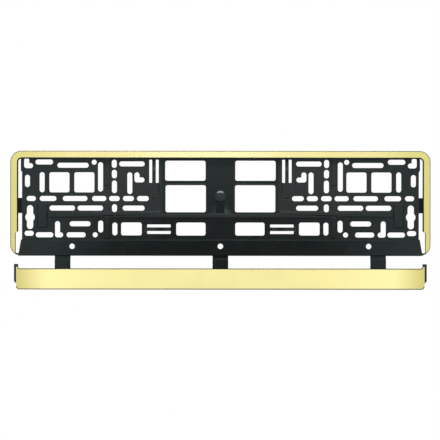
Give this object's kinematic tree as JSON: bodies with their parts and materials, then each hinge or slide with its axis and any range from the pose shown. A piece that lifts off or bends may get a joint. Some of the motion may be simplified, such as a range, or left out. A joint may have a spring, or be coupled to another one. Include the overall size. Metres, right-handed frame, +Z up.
{
  "type": "number plate holder",
  "caption": "Number plate holder with a pierced black base, a rim with gold-foiled lips, and a gold-foiled closing strip that folds up on film-hinged straps.",
  "frame": {"origin": "centre of the screw hole in the middle of the lower band, on the flat back plane", "axes": "+X along the plate toward the right as seen from the front, +Y from the front toward the back, +Z up"},
  "size_m": [0.5316, 0.01, 0.1754],
  "materials": {
    "black_plastic": "gloss",
    "strap_plastic": "satin",
    "gold_foil": "metallised gloss"
  },
  "bodies": {
    "holder": {"base": "black_plastic", "rim_foil": "gold_foil"},
    "straps": {"strap_left": "strap_plastic", "strap_centre": "strap_plastic", "strap_right": "strap_plastic"},
    "strip": {"strip": "black_plastic", "strip_foil": "gold_foil"}
  },
  "joints": [
    {"name": "strap_fold", "type": "hinge", "parent": "holder", "child": "straps", "pos_m": [0, -0.0053, -0.0163], "axis": [-1, 0, 0], "range_deg": [0, 180]},
    {"name": "strip_turn", "type": "hinge", "parent": "straps", "child": "strip", "pos_m": [0, -0.0053, -0.0377], "axis": [-1, 0, 0], "range_deg": [-180, 0]}
  ],
  "couplings": [
    {"joint": "strip_turn", "follows": "strap_fold", "ratio": -1}
  ]
}
